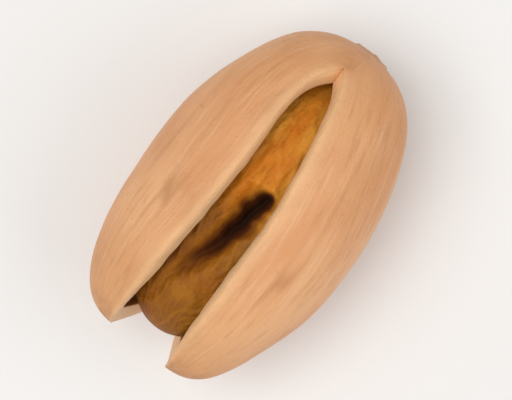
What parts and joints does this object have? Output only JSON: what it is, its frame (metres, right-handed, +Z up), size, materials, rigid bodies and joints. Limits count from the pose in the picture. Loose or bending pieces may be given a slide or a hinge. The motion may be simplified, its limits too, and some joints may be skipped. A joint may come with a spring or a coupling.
{
  "type": "pistachio in shell",
  "caption": "Roasted pistachio nut in its hard tan shell, split along the top seam with the kernel lying loose inside; rests on a small flat spot.",
  "frame": {"origin": "below the middle of the nut, on the surface that it rests on", "axes": "+X along the nut from the open tip to the closed base, +Y across the split, +Z up out of the split"},
  "size_m": [0.0206, 0.013, 0.0123],
  "materials": {
    "nutshell": "matte hard nutshell, warm tan with fine lengthwise veins and browner seams",
    "kernel_skin": "dry roasted papery skin, golden brown, finely wrinkled"
  },
  "bodies": {
    "root": {"shell": "nutshell", "kernel": "kernel_skin"}
  },
  "joints": []
}
